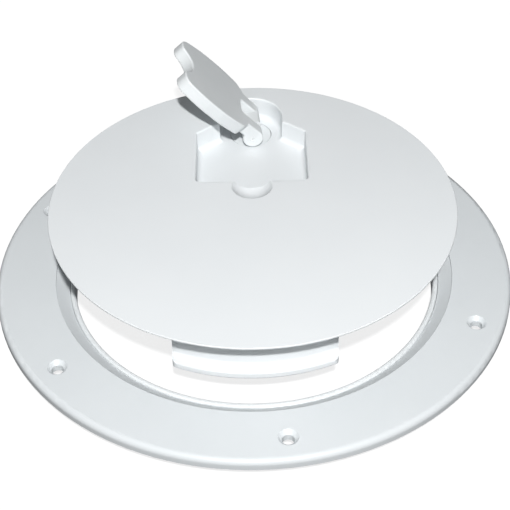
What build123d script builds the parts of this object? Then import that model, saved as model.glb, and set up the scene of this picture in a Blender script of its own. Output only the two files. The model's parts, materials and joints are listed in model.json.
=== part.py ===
from build123d import *
from math import cos, radians, sin, sqrt, tan
import os

os.makedirs("parts", exist_ok=True)

# Round deck hatch with a flush fold-down lever latch, in millimetres.
# Z = 0 is the deck plane, the underside of the flange. The lid stands lifted above its seat,
# level, with its lever half raised and turned to the left, just short of its stop.

# ---- Driving dimensions -------------------------------------------------------------------

# Deck ring
ring_r = 107.5
passage_r = 75.3
flange_t = 4.4
flange_round = 2.4
seat_top_r = 83.0
seat_wall = 1.0
seat_foot_r = 77.75
seat_foot_z = 0.1
seat_round = 0.25
spigot_r = 80.0
spigot_depth = 7.4
hole_circle_r = 96.5
hole_r = 2.4
sink_r = 4.0
hole_count = 6
hole_start = 36.8
sink_angle = 90.0

# Seal let into the foot of the seat
seal_outer_r = 77.5
seal_rebate_r = 77.7
seal_floor_z = -2.6
seal_top_z = 0.8
seal_crown_round = 0.9

# Lid: heights are given down from its top face
lid_lift = 33.1
lid_r = 82.55
lid_t = 3.4
lid_edge_t = 0.8
lid_edge_round = 0.35
rib_t = 1.8
rib_depth = 3.0
centring_r = 73.2

# Recess in the lid: a pocket for the lever and a round well for the spindle
spindle_y = 60.4
well_r = 13.6
recess_depth = 9.8
tub_wall = 1.0
tub_floor = 1.8
pocket_half = 23.3
pocket_front_y = 14.6
pocket_back_y = 48.5
neck_y = 53.8
neck_half = 16.6
throat_y = 56.0
recess_edge_round = 0.8
recess_floor_round = 2.2
dimple_y = 11.4
dimple_ball_r = 10.0
dimple_ball_rise = 5.5

# Fixed catch under the lid's front edge
catch_half = 31.5
catch_wall_r = 70.4
catch_wall_t = 2.6
catch_foot_r = 74.7
catch_foot_t = 3.2
catch_depth = 24.4

# Lever, and how the latch and lever stand
latch_rest_turn = 5.0
lever_length = 45.5
lever_t = 5.8
lever_half = 18.6
lever_hinge_half = 10.8
lever_raise = 47.5
knuckle_r = 4.4
pin_drop = 4.5
pin_r = 1.5
lug_half = 3.9
lug_side_gap = 0.9
notch_r = 9.9
notch_centre_u = 50.1

# Spindle and what it carries
disc_r = 8.8
disc_gap = 0.3
disc_t = 1.4
sunk_floor = 12.2
bush_flange_t = 0.8
bush_r = 5.5
shaft_r = 4.0
shaft_clearance = 0.05
boss_r = 11.3
boss_bottom = 14.0
o_ring_section_r = 0.5
o_ring_gap = 0.02
tongue_top = 14.65
tongue_t = 4.0
tongue_half = 6.0
tongue_reach = 20.4
tongue_pad_inner = 16.4
tongue_pad_top = 12.1
square = 5.4
square_setback = 0.2
screw_r = 1.9

# Smaller features
spigot_outer_round = 0.8
spigot_inner_round = 0.5
pocket_corner_r = 2.5
spoke_count = 6
spoke_start = 30.0
stop_near = 8.0
stop_side = 6.3
stop_length = 3.5
stop_t = 3.0
stop_bottom = 17.5
catch_sweep = 70.0
catch_instep_round = 1.6
catch_toe_round = 0.8
catch_corner_round = 3.0
gusset_spread = 12.0
gusset_run = 12.0
gusset_bottom = 18.0
lug_length = 8.0
lug_top = 0.5
lug_round = 1.2
groove_r = 3.0
groove_height = 1.1
screw_depth = 6.5
screw_end_gap = 0.5
spring_washer_r = 7.0
spring_washer_t = 0.5
tongue_hub_r = 7.5
tongue_corner_r = 1.2
tongue_pad_setback = 0.3
tongue_pad_width = 11.0
tongue_ramp_angle = 60.0
washer_r = 6.0
washer_t = 0.8
washer_play = 0.2
screw_head_r = 3.6
screw_head_t = 2.0
screw_head_round = 1.2
cross_length = 4.0
cross_width = 0.9
cross_depth = 1.3
shoulder_in_u = 7.4
shoulder_in_half = 11.4
shoulder_out_u = 10.8
shoulder_out_half = 16.2
shoulder_in_round = 1.2
shoulder_out_round = 2.5
lever_widest_u = 23.0
lever_tip_half = 15.4
lever_tip_round = 4.8
lever_horn_round = 3.2
lever_edge_round = 0.7
window_end = 10.5
window_round = 1.5
pin_fit = 0.01
pin_half = 10.6
straight_limit = 0.999
pin_mark_r = 0.6
pin_mark_depth = 1.0

# ---- Places that follow from them ---------------------------------------------------------

lid_top = flange_t + lid_lift
pin_z = lid_top - pin_drop
seat_slope = (seat_top_r - seat_foot_r) / (flange_t - seat_wall - seat_foot_z)
lid_foot_r = lid_r - (lid_t - lid_edge_t) * seat_slope
dimple_depth = dimple_ball_r - dimple_ball_rise
dimple_mouth_r = sqrt(dimple_ball_r**2 - dimple_ball_rise**2)


def below(depth):
    """Height of a level that lies this far under the lid's top face."""
    return lid_top - depth


def level(depth):
    """Horizontal plane this far under the lid's top face."""
    return Plane.XY.offset(below(depth))


def spindle_level(depth):
    """The same, with its origin on the spindle's axis."""
    return Plane(origin=(0, spindle_y, below(depth)), z_dir=(0, 0, 1))


# Directions of the latch as it stands: along its lever, and along its hinge pin
along_x = cos(radians(latch_rest_turn))
along_y = sin(radians(latch_rest_turn))
hinge_direction = (-along_y, along_x, 0)


def latch_level(depth):
    """The same again, with its x turned with the latch, away from the lever."""
    return Plane(origin=(0, spindle_y, below(depth)), x_dir=(along_x, along_y, 0), z_dir=(0, 0, 1))


def hinge_plane(offset):
    """Upright plane square to the hinge pin, this far from its middle."""
    centre = (-along_y * offset, spindle_y + along_x * offset, pin_z)
    return Plane(origin=centre, z_dir=hinge_direction)


# ---- Deck ring ----------------------------------------------------------------------------

with BuildPart() as deck_ring:
    with BuildSketch(Plane.XZ) as ring_section:
        with BuildLine():
            Polyline(
                (passage_r, -spigot_depth),
                (spigot_r, -spigot_depth),
                (spigot_r, 0),
                (ring_r, 0),
                (ring_r, flange_t),
                (seat_top_r, flange_t),
                (seat_top_r, flange_t - seat_wall),
                (seat_foot_r, seat_foot_z),
                (seal_rebate_r, seat_foot_z),
                (seal_rebate_r, seal_floor_z),
                (passage_r, seal_floor_z),
                close=True,
            )
        make_face()
        for corner, radius in (
            ((ring_r, flange_t, 0), flange_round),
            ((seat_top_r, flange_t, 0), seat_round),
            ((spigot_r, -spigot_depth, 0), spigot_outer_round),
            ((passage_r, -spigot_depth, 0), spigot_inner_round),
        ):
            fillet(ring_section.vertices().sort_by_distance(corner)[0], radius)
    revolve(axis=Axis.Z)
    with Locations((0, 0, flange_t)):
        with PolarLocations(hole_circle_r, hole_count, start_angle=hole_start):
            CounterSinkHole(hole_r, sink_r, counter_sink_angle=sink_angle)

deck_ring.part.label = "deck_ring"
export_step(deck_ring.part, "parts/deck_ring.step")

# ---- Ring seal: a soft ring with a rounded crown ------------------------------------------

with BuildPart() as ring_seal:
    with BuildSketch(Plane.XZ) as seal_section:
        with BuildLine():
            Polyline(
                (passage_r, seal_floor_z),
                (seal_outer_r, seal_floor_z),
                (seal_outer_r, seal_top_z),
                (passage_r, seal_top_z),
                close=True,
            )
        make_face()
        crown = seal_section.vertices().group_by(Axis.Y)[-1]
        fillet(crown, seal_crown_round)
    revolve(axis=Axis.Z)

ring_seal.part.label = "ring_seal"
export_step(ring_seal.part, "parts/ring_seal.step")

# ---- Lid panel ----------------------------------------------------------------------------


def recess_outline(grow):
    """Keyhole outline of the recess, pocket and well together, grown outwards by grow."""
    slant = grow * tan(radians(22.5))
    with BuildSketch() as outline:
        with BuildLine():
            Polyline(
                (0, pocket_front_y - grow),
                (pocket_half + grow, pocket_front_y - grow),
                (pocket_half + grow, pocket_back_y + slant),
                (neck_half + slant, neck_y + grow),
                (well_r + grow, throat_y + slant),
                (well_r + grow, spindle_y),
                (0, spindle_y),
            )
            mirror(about=Plane.YZ)
        make_face()
        with Locations((0, spindle_y)):
            Circle(well_r + grow)
        front_corners = outline.vertices().group_by(Axis.Y)[0]
        fillet(front_corners, pocket_corner_r + grow)
    return outline.sketch


tub_outline = recess_outline(tub_wall)
recess_shape = recess_outline(0)


def radial_plane(angle):
    """Upright plane through the ring's axis: its x runs outwards at this angle, its y runs up."""
    out_x = cos(radians(angle))
    out_y = sin(radians(angle))
    return Plane(origin=(0, 0, 0), x_dir=(out_x, out_y, 0), z_dir=(out_y, -out_x, 0))


# Catch: a curved wall whose foot turns outwards, square at both ends but for the foot's corners
with BuildPart() as catch:
    with BuildSketch(radial_plane(270 - catch_sweep / 2)) as catch_section:
        with BuildLine():
            Polyline(
                (catch_wall_r - catch_wall_t, below(lid_t / 2)),
                (catch_wall_r, below(lid_t / 2)),
                (catch_wall_r, below(catch_depth - catch_foot_t)),
                (catch_foot_r, below(catch_depth - catch_foot_t)),
                (catch_foot_r, below(catch_depth)),
                (catch_wall_r - catch_wall_t, below(catch_depth)),
                close=True,
            )
        make_face()
        instep = (catch_wall_r, below(catch_depth - catch_foot_t), 0)
        fillet(catch_section.vertices().sort_by_distance(instep)[0], catch_instep_round)
        toes = catch_section.vertices().group_by(Axis.X)[-1]
        fillet(toes, catch_toe_round)
    revolve(axis=Axis.Z, revolution_arc=catch_sweep)
    with BuildSketch(level(catch_depth)) as catch_plan:
        Circle(catch_foot_r)
        with Locations((0, -catch_foot_r)):
            Rectangle(2 * catch_half, catch_foot_r, mode=Mode.INTERSECT)
        fillet(catch_plan.vertices().group_by(Axis.Y)[0], catch_corner_round)
    extrude(amount=catch_depth, mode=Mode.INTERSECT)

with BuildPart() as lid_panel:
    # Disc whose edge is upright for a little way, then tapers to match the seat
    with BuildSketch(Plane.XZ) as lid_section:
        with BuildLine():
            Polyline(
                (0, below(0)),
                (lid_r, below(0)),
                (lid_r, below(lid_edge_t)),
                (lid_foot_r, below(lid_t)),
                (0, below(lid_t)),
                close=True,
            )
        make_face()
        rim = lid_section.vertices().group_by(Axis.X)[-1]
        fillet(rim, lid_edge_round)
    revolve(axis=Axis.Z)

    # Centring rib and stiffening spokes under the disc
    with BuildSketch(level(lid_t + rib_depth)):
        Circle(centring_r)
        Circle(centring_r - rib_t, mode=Mode.SUBTRACT)
        with PolarLocations(centring_r / 2, spoke_count, start_angle=spoke_start):
            Rectangle(centring_r - rib_t, rib_t)
    extrude(amount=rib_depth)

    # Tub that the recess is cut into, and the boss under the well
    with BuildSketch(level(recess_depth + tub_floor)):
        add(tub_outline)
    extrude(amount=recess_depth + tub_floor - lid_t)
    with BuildSketch(spindle_level(boss_bottom)):
        Circle(boss_r)
    extrude(amount=boss_bottom - recess_depth)
    with BuildSketch(level(dimple_depth + tub_floor)):
        with Locations((0, dimple_y)):
            Circle(dimple_mouth_r + tub_floor)
    extrude(amount=dimple_depth + tub_floor - lid_t / 2)

    # Two stops under the tub that end the latch's quarter turn
    with BuildSketch(spindle_level(stop_bottom)):
        with Locations((stop_near, -stop_side)):
            Rectangle(stop_length, stop_t, align=(Align.MIN, Align.MAX))
        with Locations((-stop_side, stop_near)):
            Rectangle(stop_t, stop_length, align=(Align.MAX, Align.MIN))
    extrude(amount=stop_bottom - recess_depth)

    # Catch, with two gussets behind it
    add(catch.part)
    for gusset_angle in (270 - gusset_spread, 270 + gusset_spread):
        with BuildSketch(radial_plane(gusset_angle)):
            with BuildLine():
                Polyline(
                    (catch_wall_r - catch_wall_t / 2, below(lid_t / 2)),
                    (catch_wall_r - gusset_run, below(lid_t / 2)),
                    (catch_wall_r - gusset_run, below(lid_t + 1)),
                    (catch_wall_r - catch_wall_t / 2, below(gusset_bottom)),
                    close=True,
                )
            make_face()
        extrude(amount=rib_t / 2, both=True)

    # Recess, with a rounded edge round its floor
    with BuildSketch(level(recess_depth)):
        add(recess_shape)
    extrude(amount=recess_depth, mode=Mode.SUBTRACT)
    floor_z = below(recess_depth)
    flats = lid_panel.faces().filter_by(Plane.XY).filter_by_position(Axis.Z, floor_z - 0.01, floor_z + 0.01)
    fillet(flats.sort_by(SortBy.AREA)[-1].outer_wire().edges(), recess_floor_round)

    # Finger dimple, a ball-shaped scoop that runs into the recess
    with Locations((0, dimple_y, below(-dimple_ball_rise))):
        Sphere(dimple_ball_r, mode=Mode.SUBTRACT)

    # Seat for the spindle's disc and bore for its bush
    with BuildSketch(spindle_level(sunk_floor)):
        Circle(disc_r + disc_gap)
    extrude(amount=sunk_floor - recess_depth, mode=Mode.SUBTRACT)
    with BuildSketch(spindle_level(boss_bottom)):
        Circle(bush_r)
    extrude(amount=boss_bottom - recess_depth, mode=Mode.SUBTRACT)

    # Rounded edge all round the mouth of the recess and the dimple
    top_face = lid_panel.faces().filter_by(Plane.XY).sort_by(Axis.Z)[-1]
    mouth = top_face.inner_wires()[0].edges()
    fillet(mouth, recess_edge_round)

lid_panel.part.label = "lid_panel"
export_step(lid_panel.part, "parts/lid_panel.step")

# ---- Spindle bush: flange on top, under the spindle's disc ---------------------------------

with BuildPart() as spindle_bush:
    with BuildSketch(spindle_level(sunk_floor)):
        Circle(disc_r)
    extrude(amount=bush_flange_t)
    with BuildSketch(spindle_level(boss_bottom)):
        Circle(bush_r)
    extrude(amount=boss_bottom - sunk_floor)
    with BuildSketch(spindle_level(boss_bottom)):
        Circle(shaft_r + shaft_clearance)
    extrude(amount=boss_bottom - sunk_floor + bush_flange_t, mode=Mode.SUBTRACT)

spindle_bush.part.label = "spindle_bush"
export_step(spindle_bush.part, "parts/spindle_bush.step")

# ---- Spindle: base disc, lug for the hinge, shaft, square end -------------------------------

disc_bottom = sunk_floor - bush_flange_t - shaft_clearance
square_end = tongue_top + tongue_t - square_setback
o_ring_level = (sunk_floor + boss_bottom) / 2

with BuildPart() as spindle:
    with BuildSketch(spindle_level(disc_bottom)):
        Circle(disc_r)
    extrude(amount=disc_t)
    with BuildSketch(latch_level(disc_bottom)):
        Rectangle(lug_length, 2 * lug_half)
    extrude(amount=disc_bottom - lug_top)
    lug_crown = spindle.faces().filter_by(Plane.XY).sort_by(Axis.Z)[-1]
    fillet(lug_crown.edges().filter_by(Axis((0, 0, 0), hinge_direction)), lug_round)
    with BuildSketch(spindle_level(tongue_top)):
        Circle(shaft_r)
    extrude(amount=tongue_top - disc_bottom)
    with BuildSketch(latch_level(square_end)):
        Rectangle(square, square)
    extrude(amount=square_end - tongue_top)
    # Groove for the seal ring on the shaft
    with BuildSketch(spindle_level(o_ring_level + groove_height / 2)):
        Circle(disc_r)
        Circle(groove_r, mode=Mode.SUBTRACT)
    extrude(amount=groove_height, mode=Mode.SUBTRACT)
    # Bore for the hinge pin, and the hole that the tongue's screw cuts its thread in
    with BuildSketch(hinge_plane(0)):
        Circle(pin_r + shaft_clearance)
    extrude(amount=lug_half, both=True, mode=Mode.SUBTRACT)
    with BuildSketch(spindle_level(square_end)):
        Circle(screw_r)
    extrude(amount=screw_depth, mode=Mode.SUBTRACT)

spindle.part.label = "spindle"
export_step(spindle.part, "parts/spindle.step")

# ---- Seal ring on the spindle's shaft -------------------------------------------------------

with BuildPart() as spindle_o_ring:
    with Locations((0, spindle_y, below(o_ring_level))):
        Torus(groove_r + o_ring_section_r + o_ring_gap, o_ring_section_r)

spindle_o_ring.part.label = "spindle_o_ring"
export_step(spindle_o_ring.part, "parts/spindle_o_ring.step")

# ---- Spring washer between the lid's boss and the tongue ------------------------------------

with BuildPart() as spring_washer:
    with BuildSketch(spindle_level(tongue_top)):
        Circle(spring_washer_r)
        Circle(shaft_r + shaft_clearance, mode=Mode.SUBTRACT)
    extrude(amount=spring_washer_t)

spring_washer.part.label = "spring_washer"
export_step(spring_washer.part, "parts/spring_washer.step")

# ---- Locking tongue: hub, arm and an upstand that reaches under the ring --------------------

with BuildPart() as locking_tongue:
    with BuildSketch(latch_level(tongue_top + tongue_t)) as tongue_plan:
        Circle(tongue_hub_r)
        Rectangle(tongue_reach, 2 * tongue_half, align=(Align.MIN, Align.CENTER))
        ends = tongue_plan.vertices().group_by(Axis.X)[-2:]
        fillet([end[0] for end in ends], tongue_corner_r)
    extrude(amount=tongue_t)
    # The upstand slopes down at both sides so that it slides in under the ring
    pad_foot = (along_x * tongue_pad_inner, spindle_y + along_y * tongue_pad_inner, below(tongue_top))
    with BuildSketch(Plane(origin=pad_foot, x_dir=hinge_direction, z_dir=(along_x, along_y, 0))):
        Trapezoid(
            tongue_pad_width,
            tongue_top - tongue_pad_top,
            tongue_ramp_angle,
            align=(Align.CENTER, Align.MIN),
        )
    extrude(amount=tongue_reach - tongue_pad_inner - tongue_pad_setback)
    with BuildSketch(latch_level(tongue_top + tongue_t)):
        Rectangle(square, square)
    extrude(amount=tongue_t, mode=Mode.SUBTRACT)

locking_tongue.part.label = "locking_tongue"
export_step(locking_tongue.part, "parts/locking_tongue.step")

# ---- Washer and screw that hold the tongue on -----------------------------------------------

hub_bottom = tongue_top + tongue_t

with BuildPart() as tongue_washer:
    with BuildSketch(spindle_level(hub_bottom + washer_t)):
        Circle(washer_r)
        Circle(screw_r + washer_play, mode=Mode.SUBTRACT)
    extrude(amount=washer_t)

tongue_washer.part.label = "tongue_washer"
export_step(tongue_washer.part, "parts/tongue_washer.step")

with BuildPart() as tongue_screw:
    with BuildSketch(spindle_level(hub_bottom + washer_t + screw_head_t)):
        Circle(screw_head_r)
    extrude(amount=screw_head_t)
    head_edge = tongue_screw.edges().group_by(Axis.Z)[0]
    fillet(head_edge, screw_head_round)
    with BuildSketch(spindle_level(hub_bottom + washer_t)):
        Circle(screw_r)
    extrude(amount=hub_bottom + washer_t - square_end + screw_depth - screw_end_gap)
    with BuildSketch(latch_level(hub_bottom + washer_t + screw_head_t)):
        Rectangle(cross_length, cross_width)
        Rectangle(cross_width, cross_length)
    extrude(amount=cross_depth, mode=Mode.SUBTRACT)

tongue_screw.part.label = "tongue_screw"
export_step(tongue_screw.part, "parts/tongue_screw.step")

# ---- Lever: a shield-shaped plate with two knuckles and a finger notch ----------------------

raise_out = cos(radians(lever_raise))
raise_up = sin(radians(lever_raise))
lever_plane = Plane(
    origin=(0, spindle_y, pin_z),
    x_dir=(-along_x * raise_out, -along_y * raise_out, raise_up),
    z_dir=(along_x * raise_up, along_y * raise_up, raise_out),
)
side_plane = Plane(origin=lever_plane.origin, x_dir=lever_plane.x_dir, z_dir=hinge_direction)
cut_depth = 2 * knuckle_r + 2

with BuildPart() as lever:
    # Side view: the plate's top face runs off the knuckle as a tangent, so it ends flush with the lid
    with BuildSketch(side_plane):
        plate_low = knuckle_r - lever_t
        plate_start = sqrt(knuckle_r**2 - plate_low**2)
        with BuildLine():
            Polyline(
                (0, knuckle_r),
                (lever_length, knuckle_r),
                (lever_length, plate_low),
                (plate_start, plate_low),
            )
            ThreePointArc((plate_start, plate_low), (-knuckle_r, 0), (0, knuckle_r))
        make_face()
    extrude(amount=lever_half, both=True)

    # Plan view: narrow at the hinge, a shoulder, bulging sides, and a finger notch in the end
    with BuildSketch(lever_plane.offset(-cut_depth / 2)) as lever_outline:
        with BuildLine():
            heel = Line((-cut_depth / 2, 0), (-cut_depth / 2, lever_hinge_half))
            cheek = Line(heel @ 1, (0, lever_hinge_half))
            flank = Line(cheek @ 1, (shoulder_in_u, shoulder_in_half))
            shoulder = Line(flank @ 1, (shoulder_out_u, shoulder_out_half))
            side = ThreePointArc(shoulder @ 1, (lever_widest_u, lever_half), (lever_length, lever_tip_half))
            Line(side @ 1, (lever_length, 0))
            mirror(about=Plane.XZ)
        make_face()
        with Locations((notch_centre_u, 0)):
            Circle(notch_r, mode=Mode.SUBTRACT)
        horn_half = sqrt(notch_r**2 - (notch_centre_u - lever_length) ** 2)
        for corner, radius in (
            ((shoulder_in_u, shoulder_in_half), shoulder_in_round),
            ((shoulder_out_u, shoulder_out_half), shoulder_out_round),
            ((lever_length, lever_tip_half), lever_tip_round),
            ((lever_length, horn_half), lever_horn_round),
        ):
            for hand in (-1, 1):
                spot = (corner[0], hand * corner[1], 0)
                fillet(lever_outline.vertices().sort_by_distance(spot)[0], radius)
    extrude(amount=cut_depth, mode=Mode.INTERSECT)

    # Window for the spindle's lug
    with BuildSketch(lever_plane.offset(-cut_depth / 2)) as window:
        with Locations((window_end, 0)):
            Rectangle(2 * window_end, 2 * (lug_half + lug_side_gap), align=(Align.MAX, Align.CENTER))
        fillet(window.vertices().group_by(Axis.X)[-1], window_round)
    extrude(amount=cut_depth, mode=Mode.SUBTRACT)

    # Soft edge all round the upper and lower faces and the knuckles' ends
    def is_straight_corner(edge):
        direction = edge % 0.5
        along_pin = abs(direction.dot(Vector(hinge_direction)))
        upright = abs(direction.dot(lever_plane.z_dir))
        return edge.geom_type == GeomType.LINE and max(along_pin, upright) > straight_limit

    fillet([edge for edge in lever.edges() if not is_straight_corner(edge)], lever_edge_round)

    # Bore for the pin
    with BuildSketch(hinge_plane(0)):
        Circle(pin_r + pin_fit)
    extrude(amount=lever_half, both=True, mode=Mode.SUBTRACT)

lever.part.label = "lever"
export_step(lever.part, "parts/lever.step")

# ---- Hinge pin, with a small centre mark in each end ----------------------------------------

with BuildPart() as hinge_pin:
    with BuildSketch(hinge_plane(0)):
        Circle(pin_r)
    extrude(amount=pin_half, both=True)
    for end in (-pin_half, pin_half):
        with BuildSketch(hinge_plane(end)):
            Circle(pin_mark_r)
        extrude(amount=pin_mark_depth, both=True, mode=Mode.SUBTRACT)

hinge_pin.part.label = "hinge_pin"
export_step(hinge_pin.part, "parts/hinge_pin.step")
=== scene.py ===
import bmesh
import bpy
import json
import math
from mathutils import Matrix, Vector


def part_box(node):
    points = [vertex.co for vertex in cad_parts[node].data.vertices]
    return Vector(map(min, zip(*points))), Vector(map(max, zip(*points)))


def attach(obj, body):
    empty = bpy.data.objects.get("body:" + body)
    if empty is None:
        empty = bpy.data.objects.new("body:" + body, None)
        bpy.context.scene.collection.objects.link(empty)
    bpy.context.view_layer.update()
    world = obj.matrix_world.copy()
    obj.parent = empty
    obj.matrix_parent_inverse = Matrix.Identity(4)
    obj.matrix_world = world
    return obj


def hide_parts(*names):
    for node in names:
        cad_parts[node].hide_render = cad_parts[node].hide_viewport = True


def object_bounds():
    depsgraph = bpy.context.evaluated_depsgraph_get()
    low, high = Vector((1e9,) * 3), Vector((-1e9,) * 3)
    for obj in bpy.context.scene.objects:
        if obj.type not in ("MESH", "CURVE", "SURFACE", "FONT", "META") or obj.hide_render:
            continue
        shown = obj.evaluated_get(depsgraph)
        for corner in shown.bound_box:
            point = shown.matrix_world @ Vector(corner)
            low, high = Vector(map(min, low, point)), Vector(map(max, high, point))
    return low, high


# Round deck hatch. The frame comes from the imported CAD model, in metres, +Z up out of the deck.
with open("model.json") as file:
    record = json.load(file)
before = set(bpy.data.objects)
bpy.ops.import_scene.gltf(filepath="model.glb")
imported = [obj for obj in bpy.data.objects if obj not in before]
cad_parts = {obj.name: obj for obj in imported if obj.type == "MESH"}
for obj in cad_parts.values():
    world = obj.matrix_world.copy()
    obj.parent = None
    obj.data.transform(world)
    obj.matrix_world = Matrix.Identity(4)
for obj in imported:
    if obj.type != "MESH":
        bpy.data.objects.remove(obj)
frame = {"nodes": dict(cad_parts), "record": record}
cad_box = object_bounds()
nodes = frame["nodes"]

MM = 0.001


# ---- Materials ----------------------------------------------------------------------------


def node(tree, kind, **values):
    """Add a node. Each value sets its property of that name, or else its input of that name."""
    made = tree.nodes.new(kind)
    for name, value in values.items():
        if hasattr(made, name):
            setattr(made, name, value)
        else:
            made.inputs[name.replace("_", " ")].default_value = value
    return made


def blank_material(name):
    """New material, and its node tree, its shader and the coordinates its patterns lie in."""
    material = bpy.data.materials.new(name)
    material.use_nodes = True
    tree = material.node_tree
    place = node(tree, "ShaderNodeTexCoord").outputs["Object"]
    return material, tree, tree.nodes["Principled BSDF"], place


def noise(tree, place, scale, detail, roughness):
    cloud = node(tree, "ShaderNodeTexNoise", Scale=scale, Detail=detail, Roughness=roughness)
    tree.links.new(place, cloud.inputs["Vector"])
    return cloud.outputs["Fac"]


def colour_by(tree, pattern, shader, deep, pale, start, end):
    """Colour from deep to pale, as the pattern climbs from start to end."""
    ramp = node(tree, "ShaderNodeValToRGB")
    first, last = ramp.color_ramp.elements
    first.position = start
    first.color = (*deep, 1.0)
    last.position = end
    last.color = (*pale, 1.0)
    tree.links.new(pattern, ramp.inputs["Fac"])
    tree.links.new(ramp.outputs["Color"], shader.inputs["Base Color"])


def roughen_by(tree, pattern, shader, low, high, start=0.0, end=1.0):
    """Roughness from low to high, as the pattern climbs from start to end."""
    spread = node(tree, "ShaderNodeMapRange", From_Min=start, From_Max=end, To_Min=low, To_Max=high)
    tree.links.new(pattern, spread.inputs["Value"])
    tree.links.new(spread.outputs["Result"], shader.inputs["Roughness"])


def emboss_by(tree, pattern, shader, strength, depth):
    bump = node(tree, "ShaderNodeBump", Strength=strength, Distance=depth)
    tree.links.new(pattern, bump.inputs["Height"])
    tree.links.new(bump.outputs["Normal"], shader.inputs["Normal"])


def moulded_plastic(name, pale, deep, rough, cloud_scale):
    """White moulded plastic: faint cloudy tone, uneven gloss, and a very fine skin."""
    material, tree, shader, place = blank_material(name)
    shader.inputs["Specular IOR Level"].default_value = 0.5

    clouds = noise(tree, place, scale=cloud_scale, detail=3.0, roughness=0.55)
    colour_by(tree, clouds, shader, deep, pale, start=0.3, end=0.7)

    smears = noise(tree, place, scale=140.0, detail=4.0, roughness=0.6)
    roughen_by(tree, smears, shader, rough - 0.04, rough + 0.05, start=0.3, end=0.7)

    skin = noise(tree, place, scale=2600.0, detail=2.0, roughness=0.5)
    emboss_by(tree, skin, shader, strength=0.25, depth=0.04 * MM)
    return material


def speckled_rubber(name, pale, deep, rough, bloom):
    """Soft rubber: matt, with a speckled skin and a faint pale bloom if asked."""
    material, tree, shader, place = blank_material(name)
    shader.inputs["Specular IOR Level"].default_value = 0.3
    shader.inputs["Sheen Weight"].default_value = bloom
    shader.inputs["Sheen Roughness"].default_value = 0.6

    speckle = noise(tree, place, scale=900.0, detail=4.0, roughness=0.7)
    colour_by(tree, speckle, shader, deep, pale, start=0.35, end=0.65)
    roughen_by(tree, speckle, shader, rough - 0.08, rough + 0.08)
    emboss_by(tree, speckle, shader, strength=0.5, depth=0.03 * MM)
    return material


def turned_steel(name, axis_y):
    """Stainless steel with fine rings left by the lathe, about an upright axis at x 0 and this y."""
    material, tree, shader, place = blank_material(name)
    shader.inputs["Metallic"].default_value = 1.0
    shader.inputs["Anisotropic"].default_value = 0.35

    stain = noise(tree, place, scale=450.0, detail=3.0, roughness=0.6)
    colour_by(tree, stain, shader, (0.50, 0.50, 0.485), (0.64, 0.64, 0.625), start=0.3, end=0.75)

    centred = node(tree, "ShaderNodeMapping", Location=(0, -axis_y, 0))
    rings = node(tree, "ShaderNodeTexWave", wave_type="RINGS", rings_direction="Z",
                 Scale=1100.0, Distortion=1.2, Detail=3.0)
    tree.links.new(place, centred.inputs["Vector"])
    tree.links.new(centred.outputs["Vector"], rings.inputs["Vector"])
    roughen_by(tree, rings.outputs["Fac"], shader, 0.24, 0.42)
    emboss_by(tree, rings.outputs["Fac"], shader, strength=0.35, depth=0.015 * MM)
    return material


spindle_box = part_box("spindle")
spindle_x = (spindle_box[0][0] + spindle_box[1][0]) / 2
spindle_y = (spindle_box[0][1] + spindle_box[1][1]) / 2

# Pale and deep colour, roughness, and how fine the clouds are
plastics = {
    "ring_plastic": ((0.715, 0.745, 0.76), (0.69, 0.722, 0.738), 0.38, 22.0),
    "lid_plastic": ((0.80, 0.825, 0.838), (0.778, 0.805, 0.82), 0.42, 17.0),
    "lever_plastic": ((0.79, 0.815, 0.825), (0.765, 0.795, 0.805), 0.40, 60.0),
    "pin_plastic": ((0.80, 0.82, 0.83), (0.77, 0.79, 0.80), 0.46, 200.0),
    "tongue_plastic": ((0.77, 0.79, 0.80), (0.73, 0.75, 0.765), 0.52, 80.0),
    "bush_plastic": ((0.76, 0.755, 0.70), (0.72, 0.715, 0.66), 0.48, 120.0),
}
# Pale and deep colour, roughness, and bloom
rubbers = {
    "seal_rubber": ((0.76, 0.785, 0.795), (0.70, 0.725, 0.735), 0.72, 0.15),
    "o_ring_rubber": ((0.035, 0.035, 0.036), (0.018, 0.018, 0.019), 0.42, 0.0),
}
finish = {name: moulded_plastic(name, *look) for name, look in plastics.items()}
finish |= {name: speckled_rubber(name, *look) for name, look in rubbers.items()}
finish["stainless"] = turned_steel("stainless", spindle_y)

for part in frame["record"]["subparts"]:
    slots = nodes[part["node"]].data.materials
    slots.clear()
    slots.append(finish[part["material_slot"]])


# ---- Spring washer and screw, made finer than in the CAD -----------------------------------


def grid_piece(name, rows, columns, place, slot, crease, closed_rows=False):
    """Skin over a grid of points. It closes on itself along its columns, and along its rows if asked.

    Edges that turn by more than the crease angle, in degrees, stay sharp.
    """
    mesh = bmesh.new()
    points = [[mesh.verts.new(place(row, column)) for column in range(columns)] for row in range(rows)]
    spans = rows if closed_rows else rows - 1
    for row in range(spans):
        here = points[row]
        after = points[(row + 1) % rows]
        for column in range(columns):
            beside = (column + 1) % columns
            mesh.faces.new((here[column], here[beside], after[beside], after[column]))
    if not closed_rows:
        mesh.faces.new(list(reversed(points[0])))
        mesh.faces.new(points[-1])
    bmesh.ops.recalc_face_normals(mesh, faces=mesh.faces)
    data = bpy.data.meshes.new(name)
    mesh.to_mesh(data)
    mesh.free()
    for face in data.polygons:
        face.use_smooth = True
    obj = bpy.data.objects.new(name, data)
    bpy.context.scene.collection.objects.link(obj)
    data.materials.append(finish[slot])
    edge = obj.modifiers.new("edge", "EDGE_SPLIT")
    edge.split_angle = math.radians(crease)
    return obj


def round_spindle(radius, turn, height):
    return (spindle_x + radius * math.cos(turn), spindle_y + radius * math.sin(turn), height)


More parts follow.
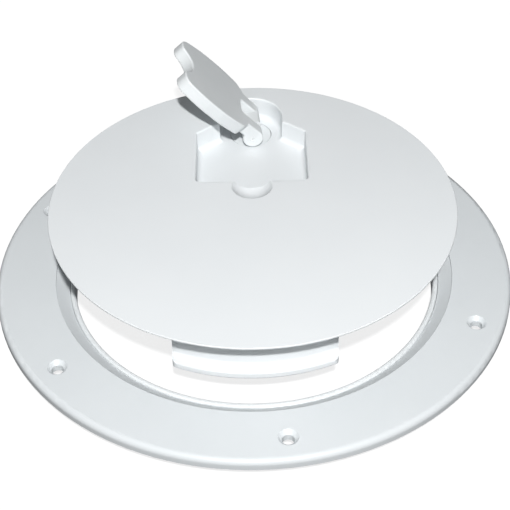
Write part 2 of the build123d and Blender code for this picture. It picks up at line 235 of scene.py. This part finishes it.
def wave_washer():
    """Thin ring with three waves, which fills the gap between the lid's boss and the tongue."""
    low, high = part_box("spring_washer")
    band = 2.9 * MM
    sheet = 0.24 * MM
    waves = 3
    columns = 96
    outer = (high[0] - low[0]) / 2
    inner = outer - band
    middle = (low[2] + high[2]) / 2
    swing = (high[2] - low[2] - sheet) / 2
    corners = ((inner, -1), (outer, -1), (outer, 1), (inner, 1))

    def place(row, column):
        radius, side = corners[row]
        turn = math.tau * column / columns
        height = middle + swing * math.cos(waves * turn) + side * sheet / 2
        return round_spindle(radius, turn, height)

    piece = grid_piece("wave_washer", len(corners), columns, place, "stainless", 40, closed_rows=True)
    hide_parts("spring_washer")
    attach(piece, "latch")


def cross_screw():
    """Screw with a domed head, a tapered cross recess in it, and a coarse thread up into the spindle."""
    low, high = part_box("tongue_screw")
    head_r = (high[0] - low[0]) / 2
    head_t = 2.0 * MM
    dome_h = 1.45 * MM
    arm_half = 0.62 * MM
    arm_reach = 2.15 * MM
    cross_depth = 1.25 * MM
    shank_r = 1.9 * MM
    root_r = 1.45 * MM
    pitch = 1.3 * MM
    crest_power = 0.8      # Below 1 the crests are fuller than the grooves
    point_share = 0.15     # Part of the shank's length that draws in, and how far it does
    point_narrowing = 0.5
    seat_z = low[2] + head_t
    tip_z = high[2]
    columns = 72
    head_rows = 26
    shank_rows = 60

    def recess(x, y):
        # Depth of the cross: two crossed slots with sloping sides and ends
        deepest = 0.0
        for along, across in ((x, y), (y, x)):
            side = max(0.0, 1 - (abs(across) / arm_half) ** 3)
            end = max(0.0, 1 - (abs(along) / arm_reach) ** 4)
            deepest = max(deepest, side * end)
        return cross_depth * deepest

    def place(row, column):
        turn = math.tau * column / columns
        if row <= head_rows:
            radius = head_r * math.sin(math.pi / 2 * row / head_rows)
            dome = dome_h * (1 - math.sqrt(max(0.0, 1 - (radius / head_r) ** 2)))
            cut = recess(radius * math.cos(turn), radius * math.sin(turn))
            return round_spindle(radius, turn, low[2] + dome + cut)
        if row == head_rows + 1:
            return round_spindle(head_r, turn, seat_z)
        climb = (row - head_rows - 2) / shank_rows
        height = seat_z + (tip_z - seat_z) * climb
        thread = abs(2 * (((height - seat_z) / pitch - column / columns) % 1) - 1) ** crest_power
        taper = 1 - point_narrowing * max(0.0, climb - (1 - point_share)) / point_share
        return round_spindle((root_r + (shank_r - root_r) * thread) * taper, turn, height)

    piece = grid_piece("cross_screw", head_rows + 3 + shank_rows, columns, place, "stainless", 50)
    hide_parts("tongue_screw")
    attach(piece, "latch")


wave_washer()
cross_screw()


# ---- Floor, lights and camera -------------------------------------------------------------

base_z = cad_box[0][2]
lamp = (0.022, -0.588, 0.680)


def floor():
    mesh = bpy.data.meshes.new("floor")
    reach = 3.0
    corners = [(-reach, -reach, base_z), (reach, -reach, base_z),
               (reach, reach, base_z), (-reach, reach, base_z)]
    mesh.from_pydata(corners, [], [(0, 1, 2, 3)])
    obj = bpy.data.objects.new("floor", mesh)
    bpy.context.scene.collection.objects.link(obj)
    material, tree, shader, place = blank_material("pale_floor")
    shader.inputs["Base Color"].default_value = (0.24, 0.24, 0.24, 1)
    shader.inputs["Roughness"].default_value = 0.9
    shader.inputs["Specular IOR Level"].default_value = 0.1
    shader.inputs["Emission Color"].default_value = (1, 1, 1, 1)
    # The floor glows more with distance from the lamp, as the lamp's own light fades on it
    away = node(tree, "ShaderNodeVectorMath", operation="DISTANCE")
    away.inputs[1].default_value = (lamp[0], lamp[1], 0)
    glow = node(tree, "ShaderNodeMapRange", From_Min=0.3, From_Max=1.3, To_Min=0.74, To_Max=1.0)
    tree.links.new(place, away.inputs[0])
    tree.links.new(away.outputs["Value"], glow.inputs["Value"])
    tree.links.new(glow.outputs["Result"], shader.inputs["Emission Strength"])
    mesh.materials.append(material)
    # The glow whitens the floor alone: it throws no light up onto the object
    obj.visible_diffuse = False
    obj.visible_glossy = False


def area_light(name, place, target, size, power):
    light = bpy.data.lights.new(name, "AREA")
    light.shape = "DISK"
    light.size = size
    light.energy = power
    obj = bpy.data.objects.new(name, light)
    obj.location = place
    obj.rotation_euler = (Vector(target) - Vector(place)).to_track_quat("-Z", "Y").to_euler()
    bpy.context.scene.collection.objects.link(obj)


def sky(low, high):
    """Soft fill from above, which fades towards the floor."""
    world = bpy.data.worlds.new("soft_fill")
    bpy.context.scene.world = world
    world.use_nodes = True
    tree = world.node_tree
    back = tree.nodes["Background"]
    back.inputs["Color"].default_value = (0.96, 0.985, 1.0, 1)
    direction = node(tree, "ShaderNodeTexCoord")
    parts = node(tree, "ShaderNodeSeparateXYZ")
    fade = node(tree, "ShaderNodeMapRange", From_Min=-0.2, From_Max=1.0, To_Min=low, To_Max=high)
    tree.links.new(direction.outputs["Generated"], parts.inputs["Vector"])
    tree.links.new(parts.outputs["Z"], fade.inputs["Value"])
    tree.links.new(fade.outputs["Result"], back.inputs["Strength"])


def camera():
    distance = 0.5518
    elevation = math.radians(42.1)
    roll = 0.021
    data = bpy.data.cameras.new("camera")
    data.sensor_width = 36.0
    data.lens = 91.8
    data.shift_x = 0.0023
    data.shift_y = 0.0325
    data.clip_start = 0.01
    obj = bpy.data.objects.new("camera", data)
    turn = Matrix.Rotation(math.pi / 2 - elevation, 4, "X") @ Matrix.Rotation(-roll, 4, "Z")
    place = Vector((0, -distance * math.cos(elevation), distance * math.sin(elevation)))
    obj.matrix_world = Matrix.Translation(place) @ turn
    bpy.context.scene.collection.objects.link(obj)
    bpy.context.scene.camera = obj


floor()
camera()
sky(low=0.10, high=0.17)
area_light("flash", lamp, target=(0, 0, 0.02), size=0.03, power=8.6)
bpy.context.scene.view_settings.view_transform = "Standard"
